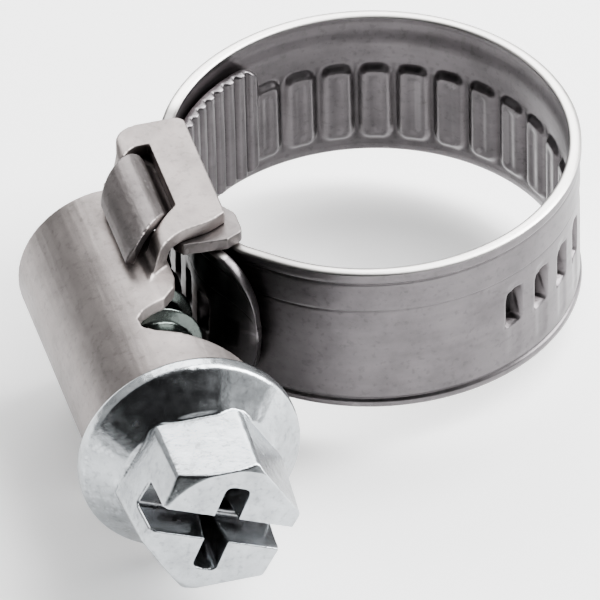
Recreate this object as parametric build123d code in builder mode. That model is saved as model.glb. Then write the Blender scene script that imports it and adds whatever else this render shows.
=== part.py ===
from build123d import *
import math
import os

# Worm-drive hose clamp, size range 8 to 16 mm. Millimetres.
# The origin is the centre of the ring. +Z is the ring's axis, and the screw lies along Y
# on the ring's -X side with its head towards -Y.

# --- band -------------------------------------------------------------------------------
BAND_WIDTH = 7.5
BAND_THICKNESS = 0.5
RING_MID_RADIUS = 8.88
EDGE_LIP = 0.07            # how far the rolled edges stand out of the band
EDGE_LIP_WIDTH = 0.45
FIXED_END_X = -7.575       # middle of the fixed end, where it runs straight along Y
FRONT_JOIN_ANGLE = 228.0   # where the straight run out of the housing meets the ring
FIXED_BEND_RADIUS = 1.5
SEAT_END_Y = 1.9           # where the full-width fixed end narrows to the tongue
TONGUE_WIDTH = 5.8
TONGUE_START_Y = 2.6
TONGUE_BENDS = [(3.5, 35.0), (7.9, 36.0)]      # radius and turn of the two bends into the ring
TONGUE_CORNER = 0.95
TONGUE_SERRATIONS = 7
SERRATION_PITCH = 0.68
SERRATION_DEPTH = 0.2
FREE_END_X = -8.75         # middle of the free end between the saddle and the worm
REAR_LEAVE_ANGLE = 157.0   # where the ring turns into the housing
FREE_END_BEND_Y = -3.5
FREE_END_BEND_RADIUS = 4.2
FREE_END_BEND_TURN = 55.0
TIP_LENGTH = 2.0           # how far back the tip's rounding starts
THREAD_PITCH = 1.73

# --- housing ------------------------------------------------------------------------------
SCREW_X = -12.0
BARREL_RADIUS = 4.02
BARREL_WALL = 0.65
BARREL_FRONT_Y = -13.2
BARREL_REAR_Y = -0.2
PLATE_TOP = 5.1
PLATE_THICKNESS = 0.65
PLATE_RING_X = -7.75
PLATE_REAR_Y = 2.42
PLATE_FRONT_CORNER = 0.8
PLATE_REAR_CORNER = 0.45
PLATE_FRONT_Y = -7.0
# section of the fold from the barrel's wall up to the plate, as (x, z)
FOLD_WALL = [(-11.3, 3.3), (-11.95, 3.3), (-11.95, 3.98), (-11.6, 4.12)]
FOLD_OUTER = [(-11.3, 4.6), (-10.7, PLATE_TOP)]
FOLD_INNER = [(-10.4, PLATE_TOP - PLATE_THICKNESS), (-10.72, 4.05)]
# plan outline of the plates from the rear edge round the barrel's side to the front corner
PLATE_REAR_EDGE_X = -9.6
PLATE_SIDE = [(-10.4, 2.3), (-10.93, 1.8), (-11.2, 0.9), (-11.7, 0.35), (-12.5, 0.2)]
PLATE_FRONT = [(-12.5, -7.6), (-11.3, -6.3), (-10.8, -5.85)]
PLATE_FRONT_CURVE = [(-10.1, -5.35), (-8.6, -4.95), (PLATE_RING_X, -4.5)]
# plan outline of the opening that the band passes through, as (x, y)
OPENING_OUTLINE = [(-6, -12.1), (-8.9, -11.6), (-10.6, -10.9), (-12.4, -10.05), (-12.85, -9.6), (-12.9, -9.0),
                   (-12.6, -8.65), (-11.5, -8.15), (-10.85, -7.35), (-10.6, -6.6), (-10.6, 1.5), (-6, 1.5)]
WINDOW_RING_X = -9.68
WINDOW_REAR_Y = 0.95
WINDOW_FRONT_Y = -3.4
WINDOW_FLOOR = 4.15        # the cut for the window starts inside the fold at this height
WINDOW_REAR_CURVE = [(-10.9, 0.55), (-11.7, 0.2)]
WINDOW_FRONT_EDGE = [(-11.7, -5.35), (-10.9, -4.7), (-10.15, -3.85)]

# --- saddle -------------------------------------------------------------------------------
SADDLE_THICKNESS = 0.58
WEB_THICKNESS = 0.55
SADDLE_TOP = PLATE_TOP - PLATE_THICKNESS
WEB_FRONT_Y = -4.4
SADDLE_FRONT_Y = -5.45
SADDLE_REAR_Y = 1.9
EAR_RING_X = -7.6
EAR_LUG_X = -7.15          # the ears are wider at the front
EAR_LUG_REAR_Y = -3.9
EAR_TAB_X = -10.2
EAR_CORNER = 0.35
TAB_TOP = 5.52             # crest of the clinched tabs
# section of the tab as it rises through the window and rolls over, as (x, z)
TAB_ROOT_X = -9.8
TAB_OUTER = [(TAB_ROOT_X, SADDLE_TOP), (-10.2, 5.0), (-10.95, TAB_TOP), (-11.9, 5.22), (-12.62, 4.5)]
TAB_INNER = [(-12.2, 4.18), (-11.65, 4.75), (-10.98, TAB_TOP - SADDLE_THICKNESS), (-10.62, 4.5),
             (-10.2, SADDLE_TOP - SADDLE_THICKNESS)]
# plan outline of the tab: its slanted front edge and its curved rear edge
TAB_FRONT = [(-12.7, -6.0), (-12.1, -5.75), (-10.85, -4.6), (-10.1, -3.75), (-9.7, -3.6), (-9.7, 0.25),
             (-10.3, 0.25)]
TAB_REAR = [(-11.5, -0.3), (-12.25, -1.05), (-12.7, -2.2)]

# --- screw --------------------------------------------------------------------------------
CORE_RADIUS = 2.05
CREST_RADIUS = 2.92
SHAFT_REAR_Y = -0.3
JOURNAL_REAR_Y = -11.6     # the plain journal turns in the barrel's closed front ring
JOURNAL_CLEARANCE = 0.05
FLANGE_RADIUS = 4.92
FLANGE_BACK_Y = -13.25
FLANGE_RIM = 0.85
FLANGE_RIM_ROUND = 0.35
FLANGE_SEAT_RADIUS = 3.5   # where the cone runs out on the hexagon
HEX_ACROSS_FLATS = 6.6     # at the flange
HEX_DRAFT = 4.0            # degrees each side narrows towards the end
HEX_CORNER = 0.45
HEX_BACK_Y = -15.45
HEX_FRONT_Y = -19.15
SLOT_WIDTH = 1.2
SLOT_DEPTH = 1.9
SLOT_ANGLE = 23.0
CROSS_LENGTH = 4.4
CROSS_DEPTH = 3.0
CROSS_WIDTH = 1.15
CHAMFER_RADIUS = 3.2
CHAMFER_SLOPE = 0.7         # axial depth per radial millimetre
CHAMFER_CENTRE = (SCREW_X + 0.25, -0.15)       # the end is chamfered more at its upper left
LOBE_ROUND = 0.3
THREAD_REAR_Y = -1.0
THREAD_FRONT_Y = -11.9

os.makedirs("parts", exist_ok=True)


def polar(radius, degrees):
    """Point of the ring's plane at a radius and an angle from +X."""
    return (radius * math.cos(math.radians(degrees)), radius * math.sin(math.radians(degrees)))


def export_piece(piece, name):
    piece.part.label = name
    export_step(piece.part, f"parts/{name}.step")


# --- band: fixed end, ring and free end are one strip ---------------------------------------
ring_start = polar(RING_MID_RADIUS, FRONT_JOIN_ANGLE)
ring_end = polar(RING_MID_RADIUS, REAR_LEAVE_ANGLE)
ring_turn = REAR_LEAVE_ANGLE - FRONT_JOIN_ANGLE + 360
# the straight run ends where a bend of FIXED_BEND_RADIUS brings the strip to FIXED_END_X
run_heading = math.radians(FRONT_JOIN_ANGLE - 90)
bend_width = FIXED_BEND_RADIUS * (1 - math.sin(run_heading))
front_run = (ring_start[0] - FIXED_END_X - bend_width) / -math.cos(run_heading)
fixed_bend_turn = FRONT_JOIN_ANGLE - 180
fixed_end_front_y = (ring_start[1] + front_run * math.sin(run_heading)
                     - FIXED_BEND_RADIUS * math.cos(run_heading))
# the bend into the housing ends parallel to the screw
inlet_turn = 180 - REAR_LEAVE_ANGLE
inlet_radius = (ring_end[0] - FREE_END_X) / (1 - math.cos(math.radians(inlet_turn)))
inlet_end_y = ring_end[1] - inlet_radius * math.sin(math.radians(inlet_turn))

# each run is (length, 0) for a straight or (radius, turn) for a bend, turn positive to the left
FIXED_RUNS = [(front_run, 0), (FIXED_BEND_RADIUS, -fixed_bend_turn), (SEAT_END_Y - fixed_end_front_y, 0)]
TONGUE_RUNS = [(TONGUE_START_Y - SEAT_END_Y, 0)]
TONGUE_RUNS += [(radius, -turn) for radius, turn in TONGUE_BENDS]
FREE_RUNS = [(inlet_radius, inlet_turn), (inlet_end_y - FREE_END_BEND_Y, 0),
             (FREE_END_BEND_RADIUS, FREE_END_BEND_TURN)]


def follow(start, heading, runs):
    """Places along a run list: the start and end of each run as (point, heading) pairs."""
    places = [(Vector(*start), heading)]
    for size, turn in runs:
        point, angle = places[-1]
        if turn == 0:
            step = Vector(*polar(size, angle))
            places.append((point + step, angle))
            continue
        side = 90 if turn > 0 else -90
        centre = point + Vector(*polar(size, angle + side))
        places.append((centre + Vector(*polar(size, angle + turn - side)), angle + turn))
    return places


def strip_face(start, heading, runs, thickness):
    """The strip's edge view along a run list, as one private face."""
    places = follow(start, heading, runs)
    outline = []
    for side in (1, -1):
        for (point, angle), (end, end_angle), (size, turn) in zip(places, places[1:], runs):
            first = point + Vector(*polar(thickness / 2, angle + side * 90))
            last = end + Vector(*polar(thickness / 2, end_angle + side * 90))
            if turn == 0:
                outline.append(Line(first, last, mode=Mode.PRIVATE))
                continue
            middle_angle = angle + turn / 2
            bend_side = 90 if turn > 0 else -90
            centre = point + Vector(*polar(size, angle + bend_side))
            radius = size + (thickness / 2 if side * turn < 0 else -thickness / 2)
            middle = centre + Vector(*polar(radius, middle_angle - bend_side))
            outline.append(ThreePointArc(first, middle, last, mode=Mode.PRIVATE))
    for point, angle in (places[0], places[-1]):
        edge = [point + Vector(*polar(thickness / 2, angle + side * 90)) for side in (1, -1)]
        outline.append(Line(*edge, mode=Mode.PRIVATE))
    return make_face(outline, mode=Mode.PRIVATE)


seat_face = strip_face(ring_start, FRONT_JOIN_ANGLE - 90, FIXED_RUNS, BAND_THICKNESS)
tongue_face = strip_face((FIXED_END_X, SEAT_END_Y), 90, TONGUE_RUNS, BAND_THICKNESS)
ring_run = [(RING_MID_RADIUS, ring_turn / 2), (RING_MID_RADIUS, ring_turn / 2)]
ring_face = strip_face(ring_start, FRONT_JOIN_ANGLE + 90, ring_run, BAND_THICKNESS)
free_face = strip_face(ring_end, REAR_LEAVE_ANGLE + 90, FREE_RUNS, BAND_THICKNESS)
rim_face = strip_face(polar(RING_MID_RADIUS + EDGE_LIP, FRONT_JOIN_ANGLE), FRONT_JOIN_ANGLE + 90,
                      [(RING_MID_RADIUS + EDGE_LIP, ring_turn / 2)] * 2, BAND_THICKNESS)
tip_point, tip_heading = follow(ring_end, REAR_LEAVE_ANGLE + 90, FREE_RUNS)[-1]

with BuildPart() as tongue:
    with BuildSketch(Plane.XY.offset(-TONGUE_WIDTH / 2)):
        add(tongue_face)
    extrude(amount=TONGUE_WIDTH)
    # rounded corners at the tongue's end
    end_point, end_heading = follow((FIXED_END_X, SEAT_END_Y), 90, TONGUE_RUNS)[-1]
    end_plane = Plane((end_point.X, end_point.Y, 0), x_dir=(*polar(1, end_heading), 0),
                      z_dir=(*polar(1, end_heading + 90), 0))
    with BuildSketch(end_plane):
        Rectangle(2 * TONGUE_CORNER, TONGUE_WIDTH + 1)
        with Locations((-2 * TONGUE_CORNER, 0)):
            RectangleRounded(4 * TONGUE_CORNER, TONGUE_WIDTH, TONGUE_CORNER, mode=Mode.SUBTRACT)
    extrude(amount=1, both=True, mode=Mode.SUBTRACT)
    # fine serrations across the hose side
    bend_radius = TONGUE_BENDS[-1][0]
    bend_centre = end_point + Vector(*polar(bend_radius, end_heading - 90))
    for groove in range(TONGUE_SERRATIONS):
        groove_angle = end_heading + 90 + math.degrees((groove + 1) * SERRATION_PITCH / bend_radius)
        groove_place = bend_centre + Vector(*polar(bend_radius - BAND_THICKNESS / 2, groove_angle))
        with BuildSketch(Plane.XY.offset(-TONGUE_WIDTH / 2)):
            with Locations(groove_place):
                Rectangle(2 * SERRATION_DEPTH, SERRATION_PITCH / 2, rotation=groove_angle)
        extrude(amount=TONGUE_WIDTH, mode=Mode.SUBTRACT)

with BuildPart() as free_end:
    with BuildSketch(Plane.XY.offset(-BAND_WIDTH / 2)):
        add(free_face)
    extrude(amount=BAND_WIDTH)
    # the tip has large rounded corners
    with BuildSketch(Plane.YZ.offset(FREE_END_X - 1)):
        with Locations((tip_point.Y, 0)):
            Rectangle(2 * TIP_LENGTH, BAND_WIDTH + 1)
        with Locations((tip_point.Y + TIP_LENGTH, 0)):
            Ellipse(TIP_LENGTH, BAND_WIDTH / 2, mode=Mode.SUBTRACT)
    extrude(amount=4, mode=Mode.SUBTRACT)

with BuildPart() as band:
    with BuildSketch(Plane.XY.offset(-BAND_WIDTH / 2)):
        add(seat_face)
        add(ring_face)
    extrude(amount=BAND_WIDTH)
    add(tongue.part)
    add(free_end.part)
    # the ring's edges are rolled outwards
    with BuildSketch(Plane.XY.offset(-BAND_WIDTH / 2)):
        add(rim_face)
    rim = extrude(amount=EDGE_LIP_WIDTH)
    mirror(rim, about=Plane.XY)
export_piece(band, "band")

# --- housing: a rolled barrel with two folded plates, one each side of the band ---------------
with BuildPart() as housing:
    with BuildSketch(Plane.XZ.offset(-BARREL_REAR_Y)):
        with Locations((SCREW_X, 0)):
            Circle(BARREL_RADIUS)
            Circle(BARREL_RADIUS - BARREL_WALL, mode=Mode.SUBTRACT)
    extrude(amount=BARREL_REAR_Y - BARREL_FRONT_Y)
    # opening through which the band passes, from the worm's front to the barrel's rear end
    with BuildSketch(Plane.XY.offset(-BARREL_RADIUS - 1)):
        with BuildLine():
            Polyline(*OPENING_OUTLINE, close=True)
        make_face()
    extrude(amount=2 * BARREL_RADIUS + 2, mode=Mode.SUBTRACT)
    # plates, folded out of the barrel's wall
    with BuildSketch(Plane.XZ.offset(-PLATE_REAR_Y)):
        with BuildLine():
            wall = Polyline(*FOLD_WALL)
            shoulder = Spline(wall @ 1, *FOLD_OUTER, tangents=[(0.8, 0.5), (1, 0)])
            plate_edge = Polyline(shoulder @ 1, (PLATE_RING_X, PLATE_TOP), (PLATE_RING_X, SADDLE_TOP),
                                  FOLD_INNER[0])
            Spline(plate_edge @ 1, FOLD_INNER[1], wall @ 0, tangents=[(-1, 0), (-0.9, -0.8)])
        make_face()
    plate = extrude(amount=PLATE_REAR_Y - PLATE_FRONT_Y, mode=Mode.PRIVATE)
    # plan outline of the plates
    with BuildSketch(Plane.XY, mode=Mode.PRIVATE) as plan:
        with BuildLine():
            rear = Polyline(PLATE_FRONT_CURVE[-1], (PLATE_RING_X, PLATE_REAR_Y),
                            (PLATE_REAR_EDGE_X, PLATE_REAR_Y))
            side = Spline(rear @ 1, *PLATE_SIDE, tangents=[(-1, 0), (-1, -0.1)])
            front = Polyline(side @ 1, *PLATE_FRONT)
            Spline(front @ 1, *PLATE_FRONT_CURVE, tangents=[(0.8, 0.6), (0.9, 0.5)])
        make_face()
        ring_corners = plan.vertices().group_by(Axis.X)[-1].sort_by(Axis.Y)
        fillet(ring_corners[-1], radius=PLATE_REAR_CORNER)
        fillet(ring_corners[0], radius=PLATE_FRONT_CORNER)
    plate = plate & extrude(plan.sketch, amount=PLATE_TOP + 1, mode=Mode.PRIVATE)
    add(plate)
    mirror(plate, about=Plane.XY)
    # windows for the clinched tabs
    for side in (1, -1):
        with BuildSketch(Plane.XY.offset(side * WINDOW_FLOOR)):
            with BuildLine():
                ring_edge = Polyline(WINDOW_FRONT_EDGE[-1], (WINDOW_RING_X, WINDOW_FRONT_Y),
                                     (WINDOW_RING_X, WINDOW_REAR_Y), (EAR_TAB_X + 0.1, WINDOW_REAR_Y))
                rear_edge = Spline(ring_edge @ 1, *WINDOW_REAR_CURVE, tangents=[(-1, 0), (-1, -0.2)])
                Polyline(rear_edge @ 1, *WINDOW_FRONT_EDGE)
            make_face()
        extrude(amount=side * 2, mode=Mode.SUBTRACT)
export_piece(housing, "housing")

# --- saddle: a channel round the band, its tabs clinched over the plates -----------------------
with BuildPart() as saddle:
    web_outer_x = FIXED_END_X - BAND_THICKNESS / 2
    with BuildSketch(Plane.XZ.offset(-SADDLE_REAR_Y)):
        with Locations((web_outer_x - WEB_THICKNESS / 2, 0)):
            Rectangle(WEB_THICKNESS, 2 * SADDLE_TOP - SADDLE_THICKNESS)
    extrude(amount=SADDLE_REAR_Y - WEB_FRONT_Y)
    # ears above and below the band, with rounded corners on the ring's side
    ear_floor = SADDLE_TOP - SADDLE_THICKNESS
    with BuildSketch(Plane.XY.offset(ear_floor)) as ear_plan:
        with BuildLine():
            Polyline((EAR_LUG_X, SADDLE_FRONT_Y + 0.25), (EAR_LUG_X, EAR_LUG_REAR_Y),
                     (EAR_RING_X, EAR_LUG_REAR_Y + 0.7), (EAR_RING_X, SADDLE_REAR_Y),
                     (EAR_TAB_X, SADDLE_REAR_Y - 0.6), (EAR_TAB_X, WINDOW_FRONT_Y - 1.6),
                     (EAR_TAB_X + 0.3, SADDLE_FRONT_Y), (EAR_LUG_X - 0.8, SADDLE_FRONT_Y - 0.15), close=True)
        make_face()
        fillet(ear_plan.vertices().group_by(Axis.X)[-1], radius=EAR_CORNER)
    ear = extrude(amount=SADDLE_THICKNESS)
    mirror(ear, about=Plane.XY)
    # tabs: they rise through the windows and roll over onto the barrel
    with BuildSketch(Plane.XZ.offset(-1), mode=Mode.PRIVATE) as tab_section:
        with BuildLine():
            outer = Spline(*TAB_OUTER, tangents=[(-1, 0.2), (-0.5, -0.9)])
            Line(outer @ 1, TAB_INNER[0])
            inner = Spline(*TAB_INNER, tangents=[(0.5, 0.85), (1, -0.3)])
            Polyline(inner @ 1, (TAB_ROOT_X, ear_floor), outer @ 0)
        make_face()
    roll = extrude(tab_section.sketch, amount=8, mode=Mode.PRIVATE)
    with BuildSketch(Plane.XY, mode=Mode.PRIVATE) as tab_plan:
        with BuildLine():
            front_edge = Polyline(*TAB_FRONT)
            rear_edge = Spline(front_edge @ 1, *TAB_REAR)
            Line(rear_edge @ 1, front_edge @ 0)
        make_face()
    tab = roll & extrude(tab_plan.sketch, amount=TAB_TOP + 1, mode=Mode.PRIVATE)
    add(tab)
    mirror(tab, about=Plane.XY)
export_piece(saddle, "saddle")

# --- worm screw --------------------------------------------------------------------------------
SCREW_AXIS = Plane((SCREW_X, 0, 0), x_dir=(1, 0, 0), z_dir=(0, -1, 0))
with BuildPart() as worm_screw:
    with BuildSketch(SCREW_AXIS.offset(-SHAFT_REAR_Y)):
        Circle(CORE_RADIUS)
    extrude(amount=SHAFT_REAR_Y - FLANGE_BACK_Y + 0.1)
    with BuildSketch(SCREW_AXIS.offset(-JOURNAL_REAR_Y)):
        Circle(BARREL_RADIUS - BARREL_WALL - JOURNAL_CLEARANCE)
    extrude(amount=JOURNAL_REAR_Y - FLANGE_BACK_Y + 0.1)
    # flange with a rounded rim and a conical face
    with BuildSketch(Plane.XY) as flange_section:
        with BuildLine():
            Polyline((SCREW_X, FLANGE_BACK_Y), (SCREW_X + FLANGE_RADIUS, FLANGE_BACK_Y),
                     (SCREW_X + FLANGE_RADIUS, FLANGE_BACK_Y - FLANGE_RIM),
                     (SCREW_X + FLANGE_SEAT_RADIUS, HEX_BACK_Y), (SCREW_X, HEX_BACK_Y), close=True)
        make_face()
        fillet(flange_section.vertices().group_by(Axis.X)[-1], radius=FLANGE_RIM_ROUND)
    revolve(axis=Axis((SCREW_X, 0, 0), (0, 1, 0)))
    with BuildSketch(SCREW_AXIS.offset(-HEX_BACK_Y)) as hexagon:
        RegularPolygon(HEX_ACROSS_FLATS / 2, 6, major_radius=False)
        fillet(hexagon.vertices(), radius=HEX_CORNER)
    extrude(amount=HEX_BACK_Y - HEX_FRONT_Y, taper=HEX_DRAFT)
    # chamfer round the head's end
    chamfer_x, chamfer_z = CHAMFER_CENTRE
    with BuildSketch(Plane.XY.offset(chamfer_z)):
        with BuildLine():
            Polyline((chamfer_x + CHAMFER_RADIUS, HEX_FRONT_Y),
                     (chamfer_x + CHAMFER_RADIUS + 1, HEX_FRONT_Y + CHAMFER_SLOPE),
                     (chamfer_x + CHAMFER_RADIUS + 1, HEX_FRONT_Y - 1),
                     (chamfer_x + CHAMFER_RADIUS, HEX_FRONT_Y - 1), close=True)
        make_face()
    revolve(axis=Axis((chamfer_x, 0, chamfer_z), (0, 1, 0)), mode=Mode.SUBTRACT)
    # recess: a slot right across the head, and a cross arm closed at its ends
    with BuildSketch(SCREW_AXIS.offset(-HEX_FRONT_Y)):
        Rectangle(12, SLOT_WIDTH, rotation=-SLOT_ANGLE)
    extrude(amount=-SLOT_DEPTH, mode=Mode.SUBTRACT)
    with BuildSketch(SCREW_AXIS.offset(-HEX_FRONT_Y)):
        RectangleRounded(CROSS_LENGTH, CROSS_WIDTH, LOBE_ROUND, rotation=-SLOT_ANGLE)
        RectangleRounded(CROSS_WIDTH, CROSS_LENGTH, LOBE_ROUND, rotation=-SLOT_ANGLE)
    extrude(amount=-CROSS_DEPTH, taper=8, mode=Mode.SUBTRACT)
    # worm thread
    with BuildLine():
        thread_path = Helix(THREAD_PITCH, THREAD_REAR_Y - THREAD_FRONT_Y, CORE_RADIUS,
                            center=(SCREW_X, THREAD_REAR_Y, 0), direction=(0, -1, 0))
    with BuildSketch(Plane(thread_path @ 0, z_dir=thread_path % 0, x_dir=(0, -1, 0))) as thread_section:
        Trapezoid(THREAD_PITCH * 0.72, CREST_RADIUS - CORE_RADIUS + 0.2, 62)
    sweep(path=thread_path, is_frenet=True)
export_piece(worm_screw, "worm_screw")
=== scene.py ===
import math

import bmesh
import bpy
from mathutils import Matrix, Vector


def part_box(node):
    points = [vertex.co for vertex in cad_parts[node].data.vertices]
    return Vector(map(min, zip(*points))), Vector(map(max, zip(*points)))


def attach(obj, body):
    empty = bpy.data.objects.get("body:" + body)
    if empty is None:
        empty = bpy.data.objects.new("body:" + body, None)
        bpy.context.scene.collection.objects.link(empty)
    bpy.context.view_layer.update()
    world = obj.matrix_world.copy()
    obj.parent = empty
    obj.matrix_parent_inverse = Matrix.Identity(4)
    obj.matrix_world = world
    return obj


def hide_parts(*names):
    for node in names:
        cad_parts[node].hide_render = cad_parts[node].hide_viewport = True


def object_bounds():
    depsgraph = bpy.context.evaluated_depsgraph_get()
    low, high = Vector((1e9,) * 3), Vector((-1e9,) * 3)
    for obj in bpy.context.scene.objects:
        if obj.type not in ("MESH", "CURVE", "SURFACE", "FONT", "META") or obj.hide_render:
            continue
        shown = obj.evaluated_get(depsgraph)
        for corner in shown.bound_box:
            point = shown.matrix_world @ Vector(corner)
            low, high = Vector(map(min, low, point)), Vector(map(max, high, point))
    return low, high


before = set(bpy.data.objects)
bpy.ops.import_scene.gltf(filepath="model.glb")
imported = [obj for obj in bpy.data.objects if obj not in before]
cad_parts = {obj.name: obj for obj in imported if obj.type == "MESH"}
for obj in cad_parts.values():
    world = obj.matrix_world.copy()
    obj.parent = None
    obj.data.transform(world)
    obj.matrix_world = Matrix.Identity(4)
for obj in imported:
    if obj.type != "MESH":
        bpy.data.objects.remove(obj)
cad_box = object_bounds()

MM = 0.001

# --- view -----------------------------------------------------------------------------------------
VIEW_AZIMUTH = math.radians(-14.7)
VIEW_ELEVATION = math.radians(39.4)
VIEW_ROLL = math.radians(-1.3)
VIEW_DISTANCE = 0.75
VIEW_WIDTH = 26.22 * MM               # of the frame, at the target
VIEW_TARGET = (-3.10 * MM, -4.04 * MM)  # right and up from the ring's centre, in the view
SENSOR = 36.0

# --- floor, lamps and studio ----------------------------------------------------------------------
FLOOR_REACH = 0.6
FLOOR_COLOUR = (0.95, 0.95, 0.95, 1)
FLOOR_GLOW = 0.4
LAMPS = [                             # name, place and size in metres, watts; each faces the object
    ("key_overhead", (0.16, 0.07, 0.28), (0.22, 0.18), 2.4),
    ("rear", (0.02, 0.23, 0.19), (0.22, 0.14), 1.0),
    ("side_right", (0.24, 0.00, 0.13), (0.12, 0.20), 2.6),
]
STUDIO_GREYS = [(0.0, 0.45), (0.3, 0.6), (0.8, 0.9)]  # from the horizon, 0, to overhead, 1
STUDIO_STRENGTH = 1.25
STUDIO_DARK = 0.02
# the studio's one dark patch, above its front, where a photographer and camera stand: two fades
# multiplied, each with a direction from the object and the cosines where it is 0 and where it is 1
DARK_PATCH = [((-0.26, -0.51, 0.82), 0.48, 0.60), ((0.22, -0.77, -0.60), 0.50, 0.36)]

# --- band, in millimetres, as the CAD model has it ------------------------------------------------
BAND_LOW, BAND_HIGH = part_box("band")
HALF_WIDTH = (BAND_HIGH[2] - BAND_LOW[2]) / 2 / MM
THICKNESS = 0.5
EDGE_LIP = 0.07
RING_RADIUS = BAND_HIGH[0] / MM - EDGE_LIP - THICKNESS / 2
FIXED_END_X = -7.575
FRONT_JOIN_ANGLE = 228.0
FIXED_BEND_RADIUS = 1.5
SEAT_END_Y = 1.9
TONGUE_WIDTH = 5.8
TONGUE_START_Y = 2.6
TONGUE_BENDS = [(3.5, 35.0), (7.9, 36.0)]
TONGUE_CORNER = 0.95
FREE_END_X = -8.75
REAR_LEAVE_ANGLE = 157.0
FREE_END_BEND_Y = -3.5
FREE_END_BEND_RADIUS = 4.2
FREE_END_BEND_TURN = 55.0
TIP_LENGTH = 2.0
TIP_FLAT = 0.1                        # share of the width left straight at the free end's tip

# --- band's mesh, in millimetres ------------------------------------------------------------------
STEP = 0.08                           # distance between the cross sections
EDGE_ROUND = 0.09                     # rounding of the sheared edges
EDGE_ARC = [math.radians(angle) for angle in (30, 60, 90, 120, 150)]
ROW_STEP = 0.1
FINE_ROW_STEP = 0.045
LINE_REACH = 0.16                     # rows are finer this close to a rolled line
SHORTEST_ROW = 0.02

# --- rolled edge lines, in millimetres ------------------------------------------------------------
UPPER_LINE, SECOND_LINE, LOWER_LINE = 3.13, 1.63, -3.3
ROLLED_START, ROLLED_FULL = 4.5, 3.0  # the rolling begins and is full this far before the ring
LEDGE_HEIGHT = 0.035                  # of the strip's face above the second line
EDGE_GROOVES = [                      # height on the strip, depth, half width
    (UPPER_LINE, 0.055, 0.05),
    (SECOND_LINE - 0.03, 0.03, 0.04),
    (LOWER_LINE, 0.07, 0.07),
]
CHANNEL_DEPTH = 0.13                  # behind the upper lip, on the hose side
CHANNEL_RETURN = 0.6                  # share of it that the very edge comes back
LOWER_CHANNEL_DEPTH = 0.05

# --- pressed thread and serrations, in millimetres ------------------------------------------------
THREAD_PITCH = 1.755                  # of the pattern as it looks on the ring; the worm's own is 1.73
FIRST_POCKET_ANGLE = -62.8
LAST_PILL_ANGLE = 110.0               # the tongue lies on the ring beyond it
LAST_POCKET_TO_TIP = 2.2              # the least distance of a pocket from the free end's tip
POCKET_DEPTH = 0.5
POCKET_SKEW = 0.06                    # lean of its upright sides
POCKET_SLANT = 0.12                   # lean of its upper and lower ends
MARGIN_DEPTH = 0.05                   # of the shallow hollow round each pocket
PILL_HEIGHT = 0.24
DIMPLE_DEPTH = 0.05
SEAM_DEPTH = 0.05                     # of the line between two pills
SEAM_WIDTH = 0.1
# shapes on the strip: half length, lower edge, upper edge, corner radius, width of the slope
POCKET = (0.46, -1.15, 0.72, 0.12, 0.11)
POCKET_SHADE = (0.46, -1.15, 0.72, 0.12, 0.2)
MARGIN = (0.5, -3.08, 1.25, 0.45, 0.4)
PILL = (0.85, -3.08, 1.25, 0.6, 0.4)
DIMPLE = (0.32, -2.58, 0.70, 0.3, 0.25)
SEAM = (1, -2.98, 1.05, 0.1, 0.4)
SERRATION_PITCH = 0.68
SERRATION_DEPTH = 0.2
SERRATED_LENGTH = 10.2
TOOTH_TOP = (0.28, 0.62)              # shares of the pitch between which a tooth is at full height

# --- painted shade and painted highlight on the band and screw, as shares from 0 to 1 and places in millimetres ---
# painted shade in each pocket, and how far it is shifted to one side
POCKET_PAINTED_SHADE = 0.9
POCKET_SHADE_SHIFT = 0.04
HIDDEN_LENGTH = 13.0                  # of the free end, inside the housing, which takes painted shade
HIDDEN_PAINTED_SHADE = 0.75
LIT_RIM_WIDTH = 0.3                       # width of the free end's edges that stay lit, out of the painted shade
LIT_RIM_START, LIT_RIM_FULL = 4.5, 4.0      # where they begin and are full, before the tip
LIT_TIP = (0.1, 0.45)                # distances from the tip between which its lit rim fades into the painted shade
LIT_HEIGHTS = (-1.5, 0.0)            # heights between which the lit rim sets in; below them the free end is in painted shade
SHADED_LENGTH = 4.5                   # of the ring, where it leaves the housing's dark mouth, darkened as a painted shadow
SHADED_DARKNESS = 0.5
SHADED_START, SHADED_FULL = 9.0, 5.0  # before the ring
# painted shade in the grooves between the serration teeth and along the seams between pills, and the seam
# shade's width
TOOTH_SHADE = 0.45
SEAM_SHADE = 0.3
SEAM_SHADE_WIDTH = 0.12
BARE_AND_LIT_RIM = (3.64, 3.74)               # heights between which the sheared edges turn bright: bare steel with a painted highlight
SHADED_THREAD_PART = (-13.4, -13.1)            # Y between which the screw darkens with painted shade, behind its flange

# --- metal ----------------------------------------------------------------------------------------
STAIN_DARK, STAIN_LIGHT = 0.7, 1.16   # shares of the tint
STREAK_DARK = 0.82
STREAK_SHARE = 0.8
PIT_SCALE = 3600.0
PIT_DARK = 0.82
EDGE_WEAR_AND_HIGHLIGHT_GAIN, EDGE_WEAR_AND_HIGHLIGHT_LIFT = 1.5, 0.1     # worn edges with a painted highlight, against the tint
# painted shade in crevices: how far it looks, and its warm tint
CREVICE_REACH = 1.6 * MM
CREVICE_SHADE_TINT = (1.0, 0.88, 0.85)
GRAIN_DEPTH = 0.02 * MM
GRIT_SCALE = 7000.0
GRIT_DEPTH = 0.01 * MM
GRIT_SHARE = 0.7                      # of the grain's bump
ROUGHNESS_BELOW, ROUGHNESS_ABOVE = 0.1, 0.14  # how far the grain moves it either way
WELD_DISTANCE = 0.002 * MM


# --- shapes ---------------------------------------------------------------------------------------
def polar(radius, degrees):
    return Vector((radius * math.cos(math.radians(degrees)), radius * math.sin(math.radians(degrees))))


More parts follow.
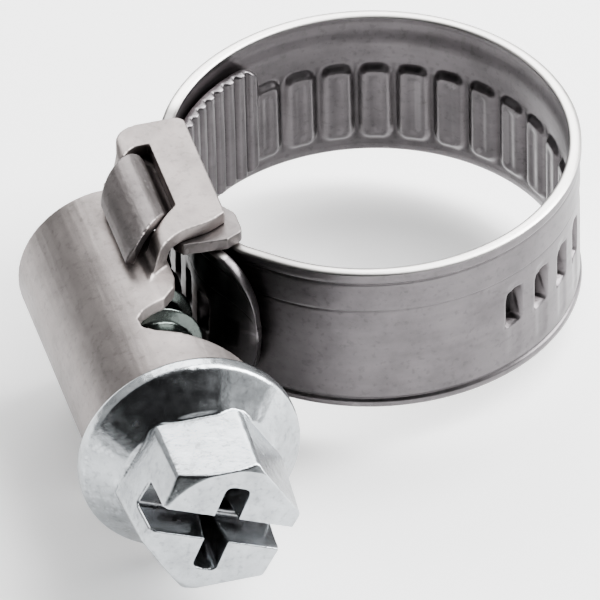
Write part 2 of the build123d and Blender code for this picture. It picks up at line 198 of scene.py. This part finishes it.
def walk(start, heading, runs):
    """Points and headings every STEP along straights (length, 0) and bends (radius, turn)."""
    point = start.copy()
    places = []
    for size, turn in runs:
        length = size if turn == 0 else size * math.radians(abs(turn))
        steps = max(1, round(length / STEP))
        side = 90 if turn > 0 else -90
        centre = point + polar(size, heading + side)
        for i in range(steps):
            part = i / steps
            if turn == 0:
                places.append((point + polar(length * part, heading), heading))
            else:
                places.append((centre + polar(size, heading + turn * part - side), heading + turn * part))
        if turn == 0:
            point = point + polar(length, heading)
        else:
            point = centre + polar(size, heading + turn - side)
            heading += turn
    places.append((point, heading))
    return places


def band_path():
    """The whole strip's middle, from the serrated tongue round to the free end's tip."""
    ring_start = polar(RING_RADIUS, FRONT_JOIN_ANGLE)
    run_heading = math.radians(FRONT_JOIN_ANGLE - 90)
    rise, run = math.sin(run_heading), math.cos(run_heading)
    front_run = (ring_start.x - FIXED_END_X - FIXED_BEND_RADIUS * (1 - rise)) / -run
    bend_end_y = ring_start.y + front_run * rise - FIXED_BEND_RADIUS * run
    back = [(front_run, 0), (FIXED_BEND_RADIUS, 180 - FRONT_JOIN_ANGLE), (TONGUE_START_Y - bend_end_y, 0)]
    back += [(radius, -turn) for radius, turn in TONGUE_BENDS]
    fixed = [(point, heading + 180) for point, heading in walk(ring_start, FRONT_JOIN_ANGLE - 90, back)]
    fixed.reverse()

    ring_end = polar(RING_RADIUS, REAR_LEAVE_ANGLE)
    inlet_turn = 180 - REAR_LEAVE_ANGLE
    inlet_radius = (ring_end.x - FREE_END_X) / (1 - math.cos(math.radians(inlet_turn)))
    inlet_end_y = ring_end.y - inlet_radius * math.sin(math.radians(inlet_turn))
    onward = [(RING_RADIUS, REAR_LEAVE_ANGLE - FRONT_JOIN_ANGLE + 360), (inlet_radius, inlet_turn),
              (inlet_end_y - FREE_END_BEND_Y, 0), (FREE_END_BEND_RADIUS, FREE_END_BEND_TURN)]
    rest = walk(ring_start, FRONT_JOIN_ANGLE + 90 - 360, onward)
    return fixed[:-1] + rest, len(fixed) - 1


def smooth(low, high, value):
    t = min(1.0, max(0.0, (value - low) / (high - low)))
    return t * t * (3 - 2 * t)


def rounded_block(along, z, shape):
    """1 inside a rounded rectangle on the strip, falling to 0 over the slope round it."""
    half_length, low, high, corner, slope = shape
    dx = abs(along) - (half_length - corner)
    dz = abs(z - (low + high) / 2) - ((high - low) / 2 - corner)
    outside = math.hypot(max(dx, 0), max(dz, 0)) + min(max(dx, dz), 0) - corner
    return 1 - smooth(-slope, 0, outside)


def line_groove(z, at, width):
    return math.exp(-((z - at) / width) ** 2)


def rolled(s, ring_s):
    """1 where the strip has its rolled edges, 0 on the plain fixed end."""
    return smooth(ring_s - ROLLED_START, ring_s - ROLLED_FULL, s)


def ring_place(angle, ring_s):
    """The distance along the strip of an angle on the ring."""
    return ring_s + math.radians(angle - FRONT_JOIN_ANGLE + 360) * RING_RADIUS


def nearest_pocket(s, ring_s):
    """The number of the pocket nearest to s, where it is along the strip, and how far s is past it."""
    first = ring_place(FIRST_POCKET_ANGLE, ring_s)
    number = round((s - first) / THREAD_PITCH)
    middle = first + number * THREAD_PITCH
    return number, middle, s - middle


def outer_relief(s, z, ring_s, tip_s):
    """How far the outer face stands out of the plain strip at a distance s along it."""
    lips = EDGE_LIP * sum(smooth(line - 0.05, line + 0.2, height)
                          for line, height in ((UPPER_LINE, z), (-LOWER_LINE, -z)))
    ledge = LEDGE_HEIGHT * smooth(SECOND_LINE - 0.04, SECOND_LINE + 0.06, z)
    grooves = sum(depth * line_groove(z, at, width) for at, depth, width in EDGE_GROOVES)
    relief = rolled(s, ring_s) * (lips + ledge - grooves)
    number, middle, along = nearest_pocket(s, ring_s)
    if number >= 0 and middle < tip_s - LAST_POCKET_TO_TIP:
        skew = POCKET_SKEW * (z - (POCKET[1] + POCKET[2]) / 2)
        relief -= POCKET_DEPTH * rounded_block(along - skew, z - POCKET_SLANT * along, POCKET)
        relief -= MARGIN_DEPTH * rounded_block(along, z, MARGIN)
    return relief


def inner_relief(s, z, ring_s):
    """How far the hose side stands in from the plain strip."""
    relief = 0.0
    if s < SERRATED_LENGTH:
        tooth = (s / SERRATION_PITCH) % 1.0
        relief -= SERRATION_DEPTH * (1 - smooth(0.0, TOOTH_TOP[0], tooth) + smooth(TOOTH_TOP[1], 1.0, tooth))
    channel = smooth(SECOND_LINE + 0.5, UPPER_LINE + 0.1, z)
    channel -= CHANNEL_RETURN * smooth(UPPER_LINE + 0.25, HALF_WIDTH, z)
    lower_channel = smooth(-LOWER_LINE, HALF_WIDTH, -z)
    relief -= rolled(s, ring_s) * (CHANNEL_DEPTH * channel + LOWER_CHANNEL_DEPTH * lower_channel)
    number, middle, along = nearest_pocket(s, ring_s)
    if number >= 0 and middle < ring_place(LAST_PILL_ANGLE, ring_s):
        relief += PILL_HEIGHT * rounded_block(along, z, PILL) - DIMPLE_DEPTH * rounded_block(along, z, DIMPLE)
        seam = line_groove(abs(along), THREAD_PITCH / 2, SEAM_WIDTH)
        relief -= SEAM_DEPTH * seam * rounded_block(0, z, SEAM)
    return relief


def painted_lightness(s, z, outer, ring_s, tip_s):
    """How light the strip is left by its painted shade, from 1 down to 0: painted shade in its pressed
    shapes, on the free end inside the housing and on the ring by the housing's mouth.
    """
    number, middle, along = nearest_pocket(s, ring_s)
    if outer:
        painted_light = 1.0
        # painted shade in each pocket, shifted a little to one side
        if number >= 0:
            painted_light -= POCKET_PAINTED_SHADE * rounded_block(along - POCKET_SKEW * z - POCKET_SHADE_SHIFT,
                                                 z - POCKET_SLANT * along, POCKET_SHADE)
        # the free end inside the housing takes painted shade, except its rim and tip, which stay lit above
        # its lower half
        lit_rim = smooth(HALF_WIDTH - LIT_RIM_WIDTH, HALF_WIDTH, abs(z))
        lit_rim *= smooth(tip_s - LIT_RIM_START, tip_s - LIT_RIM_FULL, s)
        lit_rim = max(lit_rim, 1 - smooth(*LIT_TIP, tip_s - s)) * smooth(*LIT_HEIGHTS, z)
        hidden = smooth(tip_s - HIDDEN_LENGTH, tip_s - HIDDEN_LENGTH + 1.0, s)
        painted_light *= 1 - (1 - lit_rim) * HIDDEN_PAINTED_SHADE * hidden
        # painted shadow on the ring where it leaves the housing's dark mouth
        shaded = 1 - smooth(ring_s, ring_s + SHADED_LENGTH, s)
        shaded *= smooth(ring_s - SHADED_START, ring_s - SHADED_FULL, s)
        return painted_light * (1 - SHADED_DARKNESS * shaded)
    # painted shade in the grooves between the serration teeth, then along the seams between the pills
    if s < SERRATED_LENGTH:
        return 1 - TOOTH_SHADE + TOOTH_SHADE * math.sin(math.pi * ((s / SERRATION_PITCH) % 1.0)) ** 2
    if number < 0 or middle > ring_place(LAST_PILL_ANGLE, ring_s):
        return 1.0
    seam = line_groove(abs(along), THREAD_PITCH / 2, SEAM_SHADE_WIDTH)
    return 1 - SEAM_SHADE * seam * (PILL[1] < z < PILL[2])


def z_rows():
    """Heights of the mesh rows, closer together at the edges and the rolled lines."""
    rows = []
    z = -HALF_WIDTH + EDGE_ROUND
    while z < HALF_WIDTH - EDGE_ROUND - SHORTEST_ROW:
        rows.append(z)
        near_line = min(abs(z - at) for at in (UPPER_LINE, SECOND_LINE, LOWER_LINE))
        z += FINE_ROW_STEP if near_line < LINE_REACH else ROW_STEP
    rows.append(HALF_WIDTH - EDGE_ROUND)
    return rows


def width_share(s, tip_s, seat_s):
    """The strip's width at s, as a share of its full width."""
    share = 1.0
    to_tip = tip_s - s
    if to_tip < TIP_LENGTH:
        share = math.sqrt(max(0.0, 1 - (1 - to_tip / TIP_LENGTH) ** 2)) * (1 - TIP_FLAT) + TIP_FLAT
    if s < seat_s:
        share = TONGUE_WIDTH / 2 / HALF_WIDTH
    if s < TONGUE_CORNER:
        cut = 1 - math.sqrt(1 - (1 - s / TONGUE_CORNER) ** 2)
        share -= cut * TONGUE_CORNER / HALF_WIDTH
    return share


def rounded_edge(outer, inner, side):
    """The points over a sheared edge, from one face to the other; side is 1 at the top, -1 at the bottom."""
    middle, reach = (outer[0] + inner[0]) / 2, (outer[0] - inner[0]) / 2
    return [(middle + side * reach * math.cos(angle), outer[1] + side * EDGE_ROUND * math.sin(angle))
            for angle in EDGE_ARC]


def cross_section(s, rows, ring_s, tip_s, seat_s):
    """The strip's outline at s, as offsets outward and heights."""
    share = width_share(s, tip_s, seat_s)
    outer = [(THICKNESS / 2 + outer_relief(s, z, ring_s, tip_s), z * share) for z in rows]
    inner = [(-THICKNESS / 2 - inner_relief(s, z, ring_s), z * share) for z in reversed(rows)]
    return outer + rounded_edge(outer[-1], inner[0], 1) + inner + rounded_edge(outer[0], inner[-1], -1)


def make_band():
    path, ring_index = band_path()
    lengths = [0.0]
    for (a, _), (b, _) in zip(path, path[1:]):
        lengths.append(lengths[-1] + (b - a).length)
    ring_s = lengths[ring_index]
    tip_s = lengths[-1]
    seat_s = sum(radius * math.radians(turn) for radius, turn in TONGUE_BENDS) + TONGUE_START_Y - SEAT_END_Y
    rows = z_rows()
    vertices = []
    painted_light_values = []
    for (point, heading), s in zip(path, lengths):
        outward = polar(1, heading - 90)
        for offset, z in cross_section(s, rows, ring_s, tip_s, seat_s):
            place = (point.x + outward.x * offset, point.y + outward.y * offset, z)
            vertices.append(tuple(value * MM for value in place))
        # painted shade for each vertex, kept in a colour attribute
        outer = [painted_lightness(s, z, True, ring_s, tip_s) for z in rows]
        inner = [painted_lightness(s, z, False, ring_s, tip_s) for z in reversed(rows)]
        painted_light_values += outer + outer[-1:] * len(EDGE_ARC) + inner + outer[:1] * len(EDGE_ARC)
    count = len(vertices) // len(path)
    faces = []
    for i in range(len(path) - 1):
        for j in range(count):
            k = (j + 1) % count
            faces.append((i * count + j, (i + 1) * count + j, (i + 1) * count + k, i * count + k))
    faces.append(tuple(range(count)))
    faces.append(tuple(reversed(range((len(path) - 1) * count, len(path) * count))))
    mesh = bpy.data.meshes.new("band_strip")
    mesh.from_pydata(vertices, [], faces)
    mesh.update()
    mesh.shade_smooth()
    painted_light = mesh.color_attributes.new("painted_light", "FLOAT_COLOR", "POINT")
    painted_light.data.foreach_set("color", [channel for value in painted_light_values for channel in grey(value)])
    strip = bpy.data.objects.new("band_strip", mesh)
    bpy.context.scene.collection.objects.link(strip)
    return strip


# --- materials ------------------------------------------------------------------------------------
def new_material(name):
    material = bpy.data.materials.new(name)
    material.use_nodes = True
    nodes = material.node_tree.nodes
    return material, nodes, material.node_tree.links, nodes["Principled BSDF"]


def grey(value):
    return (value, value, value, 1.0)


def ramp(nodes, links, factor, stops):
    """Colours at places from 0 to 1, looked up by the factor."""
    node = nodes.new("ShaderNodeValToRGB")
    elements = node.color_ramp.elements
    while len(elements) < len(stops):
        elements.new(0.5)
    for element, (place, colour) in zip(elements, stops):
        element.position = place
        element.color = colour if len(colour) == 4 else (*colour, 1.0)
    links.new(factor, node.inputs["Fac"])
    return node.outputs["Color"]


def noise(nodes, links, vector, scale, detail=2.0, roughness=0.5):
    node = nodes.new("ShaderNodeTexNoise")
    node.inputs["Scale"].default_value = scale
    node.inputs["Detail"].default_value = detail
    node.inputs["Roughness"].default_value = roughness
    links.new(vector, node.inputs["Vector"])
    return node.outputs["Fac"]


def ranged(nodes, links, value, start, end):
    """0 to 1 as the value goes from start to end."""
    node = nodes.new("ShaderNodeMapRange")
    node.inputs["From Min"].default_value = start
    node.inputs["From Max"].default_value = end
    links.new(value, node.inputs["Value"])
    return node.outputs["Result"]


def multiplied(nodes, links, value, factor):
    """The value times the factor, which is a socket or a plain number."""
    node = nodes.new("ShaderNodeMath")
    node.operation = "MULTIPLY"
    links.new(value, node.inputs[0])
    if isinstance(factor, bpy.types.NodeSocket):
        links.new(factor, node.inputs[1])
    else:
        node.inputs[1].default_value = factor
    return node.outputs["Value"]


def axis_ramp(nodes, links, axis, start, end, both_ways=False):
    """0 to 1 between two places along one of the object's axes, in millimetres."""
    place = nodes.new("ShaderNodeTexCoord")
    split = nodes.new("ShaderNodeSeparateXYZ")
    links.new(place.outputs["Object"], split.inputs["Vector"])
    value = split.outputs[axis]
    if both_ways:
        size = nodes.new("ShaderNodeMath")
        size.operation = "ABSOLUTE"
        links.new(value, size.inputs[0])
        value = size.outputs["Value"]
    return ranged(nodes, links, value, start * MM, end * MM)


def blend(nodes, links, factor, base, layer, mode="MIX"):
    """base with layer over it where the factor is 1; each is a socket or a plain value."""
    node = nodes.new("ShaderNodeMix")
    node.data_type = "RGBA"
    node.blend_type = mode
    for name, source in (("Factor", factor), ("A", base), ("B", layer)):
        if isinstance(source, bpy.types.NodeSocket):
            links.new(source, node.inputs[name])
        else:
            node.inputs[name].default_value = source
    return node.outputs["Result"]


def bumped(nodes, links, height, strength, depth):
    node = nodes.new("ShaderNodeBump")
    node.inputs["Strength"].default_value = strength
    node.inputs["Distance"].default_value = depth
    links.new(height, node.inputs["Height"])
    return node


def steel(name, tint, roughness, grain_scale, grain_bump, stains, edge_wear_and_highlight=0.25, crevice_shade=0.35,
          hollow_shade=0.55, zones=()):
    """Stamped metal: drawn grain, soft stains, fine pits, worn edges with a painted highlight, and painted
    shade in the crevices and hollows.

    zones are more layers over the colour: functions that return a factor, a colour and a mode.
    """
    material, nodes, links, shader = new_material(name)
    place = nodes.new("ShaderNodeTexCoord").outputs["Object"]
    stretch = nodes.new("ShaderNodeMapping")
    stretch.inputs["Scale"].default_value = grain_scale
    links.new(place, stretch.inputs["Vector"])
    grain = noise(nodes, links, stretch.outputs["Vector"], 1.0, detail=5.0)

    blotch = noise(nodes, links, place, stains, detail=6.0, roughness=0.65)
    dark = tuple(channel * STAIN_DARK for channel in tint)
    light = tuple(min(1.0, channel * STAIN_LIGHT) for channel in tint)
    stained = ramp(nodes, links, blotch, [(0.3, dark), (0.55, tint), (0.78, light)])
    streaks = ramp(nodes, links, grain, [(0.3, grey(STREAK_DARK)), (0.7, grey(1.0))])
    colour = blend(nodes, links, STREAK_SHARE, stained, streaks, "MULTIPLY")
    pits = ramp(nodes, links, noise(nodes, links, place, PIT_SCALE, detail=3.0),
                [(0.32, grey(PIT_DARK)), (0.44, grey(1.0))])
    colour = blend(nodes, links, 1.0, colour, pits, "MULTIPLY")

    # painted highlight with wear: convex edges, found by pointiness, are lightened
    pointiness = nodes.new("ShaderNodeNewGeometry").outputs["Pointiness"]
    edges = ramp(nodes, links, pointiness, [(0.5, grey(0.0)), (0.62, grey(1.0))])
    wear_and_highlight_colour = (*(min(1.0, channel * EDGE_WEAR_AND_HIGHLIGHT_GAIN + EDGE_WEAR_AND_HIGHLIGHT_LIFT) for channel in tint), 1.0)
    colour = blend(nodes, links, multiplied(nodes, links, edges, edge_wear_and_highlight), colour, wear_and_highlight_colour)
    for zone in zones:
        factor, layer, mode = zone(nodes, links)
        colour = blend(nodes, links, factor, colour, layer, mode)

    # painted shade: crevices found by ambient occlusion and hollows found by pointiness are darkened, with a
    # warm tint
    crevice = nodes.new("ShaderNodeAmbientOcclusion")
    crevice.samples = 6
    crevice.inputs["Distance"].default_value = CREVICE_REACH
    crevice_shade_colour = tuple(crevice_shade * channel for channel in CREVICE_SHADE_TINT)
    crevice_darkening = ramp(nodes, links, crevice.outputs["AO"], [(0.15, crevice_shade_colour), (0.75, grey(1.0))])
    hollow = ramp(nodes, links, pointiness, [(0.42, grey(hollow_shade)), (0.495, grey(1.0))])
    deep = blend(nodes, links, 1.0, crevice_darkening, hollow, "MULTIPLY")
    links.new(blend(nodes, links, 1.0, colour, deep, "MULTIPLY"), shader.inputs["Base Color"])

    rough = nodes.new("ShaderNodeMapRange")
    rough.inputs["To Min"].default_value = roughness - ROUGHNESS_BELOW
    rough.inputs["To Max"].default_value = roughness + ROUGHNESS_ABOVE
    links.new(grain, rough.inputs["Value"])
    links.new(rough.outputs["Result"], shader.inputs["Roughness"])
    shader.inputs["Metallic"].default_value = 1.0

    drawn = bumped(nodes, links, grain, grain_bump, GRAIN_DEPTH)
    grit = bumped(nodes, links, noise(nodes, links, place, GRIT_SCALE), grain_bump * GRIT_SHARE, GRIT_DEPTH)
    links.new(drawn.outputs["Normal"], grit.inputs["Normal"])
    links.new(grit.outputs["Normal"], shader.inputs["Normal"])
    return material


def bare_and_highlit_rims(nodes, links):
    """The strip's sheared edges: bare steel, lightened further as a painted highlight."""
    return axis_ramp(nodes, links, "Z", *BARE_AND_LIT_RIM, both_ways=True), (0.70, 0.68, 0.66, 1.0), "MIX"


def painted_strip_shade(nodes, links):
    """The strip's painted shade, kept on its vertices: in its pressed shapes, on the free end inside the
    housing and on the ring by the housing's mouth.
    """
    painted_light = nodes.new("ShaderNodeVertexColor")
    painted_light.layer_name = "painted_light"
    return 1.0, painted_light.outputs["Color"], "MULTIPLY"


def shaded_thread(nodes, links):
    """The worm behind the flange is darkened with painted shade."""
    return axis_ramp(nodes, links, "Y", *SHADED_THREAD_PART), (0.20, 0.225, 0.20, 1.0), "MULTIPLY"


# --- pieces ---------------------------------------------------------------------------------------
def rounded_copy(node, name, cell, passes):
    """A copy of a CAD node on an even fine mesh, its sharp edges softened by a few smoothing passes."""
    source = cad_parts[node]
    copy = source.copy()
    copy.data = source.data.copy()
    copy.name = name
    copy.data.name = name
    copy.parent = None
    bpy.context.scene.collection.objects.link(copy)
    grid = bmesh.new()
    grid.from_mesh(copy.data)
    bmesh.ops.remove_doubles(grid, verts=grid.verts, dist=WELD_DISTANCE)
    grid.to_mesh(copy.data)
    grid.free()
    copy.data.materials.clear()
    even = copy.modifiers.new("even_mesh", "REMESH")
    even.mode = "VOXEL"
    even.voxel_size = cell * MM
    even.use_smooth_shade = True
    soften = copy.modifiers.new("soften", "SMOOTH")
    soften.factor = 0.5
    soften.iterations = passes
    evaluated = copy.evaluated_get(bpy.context.evaluated_depsgraph_get())
    mesh = bpy.data.meshes.new_from_object(evaluated)
    copy.modifiers.clear()
    copy.data = mesh
    copy.data.name = name
    copy.data.shade_smooth()
    return copy


def floor(height):
    mesh = bpy.data.meshes.new("floor")
    corners = [(-1, -1), (1, -1), (1, 1), (-1, 1)]
    mesh.from_pydata([(x * FLOOR_REACH, y * FLOOR_REACH, height) for x, y in corners], [], [(0, 1, 2, 3)])
    sheet = bpy.data.objects.new("floor", mesh)
    bpy.context.scene.collection.objects.link(sheet)
    material, _, _, shader = new_material("floor_paper")
    shader.inputs["Base Color"].default_value = FLOOR_COLOUR
    shader.inputs["Emission Color"].default_value = (1, 1, 1, 1)
    shader.inputs["Emission Strength"].default_value = FLOOR_GLOW
    shader.inputs["Roughness"].default_value = 0.9
    shader.inputs["Specular IOR Level"].default_value = 0.1
    mesh.materials.append(material)


def lamps():
    for name, place, size, power in LAMPS:
        light = bpy.data.lights.new(name, "AREA")
        light.shape = "RECTANGLE"
        light.size, light.size_y = size
        light.energy = power
        lamp = bpy.data.objects.new(name, light)
        lamp.location = place
        lamp.rotation_euler = Vector(place).to_track_quat("Z", "Y").to_euler()
        bpy.context.scene.collection.objects.link(lamp)


def studio():
    world = bpy.data.worlds.new("studio")
    bpy.context.scene.world = world
    world.use_nodes = True
    nodes, links = world.node_tree.nodes, world.node_tree.links
    direction = nodes.new("ShaderNodeTexCoord").outputs["Generated"]
    split = nodes.new("ShaderNodeSeparateXYZ")
    links.new(direction, split.inputs["Vector"])
    pale = ramp(nodes, links, split.outputs["Z"], [(place, grey(value)) for place, value in STUDIO_GREYS])
    fades = []
    for side, start, end in DARK_PATCH:
        along = nodes.new("ShaderNodeVectorMath")
        along.operation = "DOT_PRODUCT"
        along.inputs[1].default_value = side
        links.new(direction, along.inputs[0])
        fades.append(ranged(nodes, links, along.outputs["Value"], start, end))
    patch = multiplied(nodes, links, *fades)
    background = nodes["Background"]
    links.new(blend(nodes, links, patch, pale, grey(STUDIO_DARK)), background.inputs["Color"])
    background.inputs["Strength"].default_value = STUDIO_STRENGTH


def camera():
    sin_a, cos_a = math.sin(VIEW_AZIMUTH), math.cos(VIEW_AZIMUTH)
    sin_e, cos_e = math.sin(VIEW_ELEVATION), math.cos(VIEW_ELEVATION)
    back = Vector((sin_a * cos_e, -cos_a * cos_e, sin_e))
    level = Vector((cos_a, sin_a, 0))
    upright = back.cross(level)
    right = math.cos(VIEW_ROLL) * level + math.sin(VIEW_ROLL) * upright
    up = math.cos(VIEW_ROLL) * upright - math.sin(VIEW_ROLL) * level
    data = bpy.data.cameras.new("camera")
    data.sensor_width = SENSOR
    data.lens = SENSOR * VIEW_DISTANCE / VIEW_WIDTH
    eye = bpy.data.objects.new("camera", data)
    turn = Matrix((right, up, back)).transposed()
    eye.matrix_world = Matrix.Translation(
        VIEW_TARGET[0] * right + VIEW_TARGET[1] * up + VIEW_DISTANCE * back) @ turn.to_4x4()
    bpy.context.scene.collection.objects.link(eye)
    bpy.context.scene.camera = eye


camera()
floor(cad_box[0][2])
lamps()
studio()

# each finish darkens its crevices and hollows with painted shade and lightens its edges with wear and a
# painted highlight; the band's zones add its bright rims and painted strip shade
band_steel = steel("band_finish", (0.118, 0.109, 0.114), 0.33, (260, 260, 2600), 0.35, 420,
                   crevice_shade=0.6, hollow_shade=0.8, zones=(bare_and_highlit_rims, painted_strip_shade))
housing_steel = steel("housing_finish", (0.222, 0.199, 0.192), 0.42, (2200, 300, 2200), 0.7, 520,
                      crevice_shade=0.45)
saddle_steel = steel("saddle_finish", (0.118, 0.106, 0.105), 0.36, (2400, 300, 2400), 0.5, 500,
                     edge_wear_and_highlight=0.4)
# the zinc's zone darkens its thread behind the flange with painted shade
zinc = steel("zinc_finish", (0.42, 0.445, 0.465), 0.21, (1500, 1500, 1500), 0.6, 900,
             crevice_shade=0.6, zones=(shaded_thread,))

band = make_band()
band.data.materials.append(band_steel)
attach(band, "clamp")
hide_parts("band")

# node, piece, mesh cell in millimetres, smoothing passes, body, slot, material
for node, piece_name, cell, passes, body, slot, material in (
        ("housing", "housing_shell", 0.06, 5, "clamp", "housing_steel", housing_steel),
        ("saddle", "saddle_clip", 0.05, 7, "clamp", "saddle_steel", saddle_steel),
        ("worm_screw", "worm_screw_body", 0.06, 5, "screw", "zinc_plate", zinc)):
    piece = rounded_copy(node, piece_name, cell, passes)
    piece.data.materials.append(material)
    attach(piece, body)
    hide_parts(node)
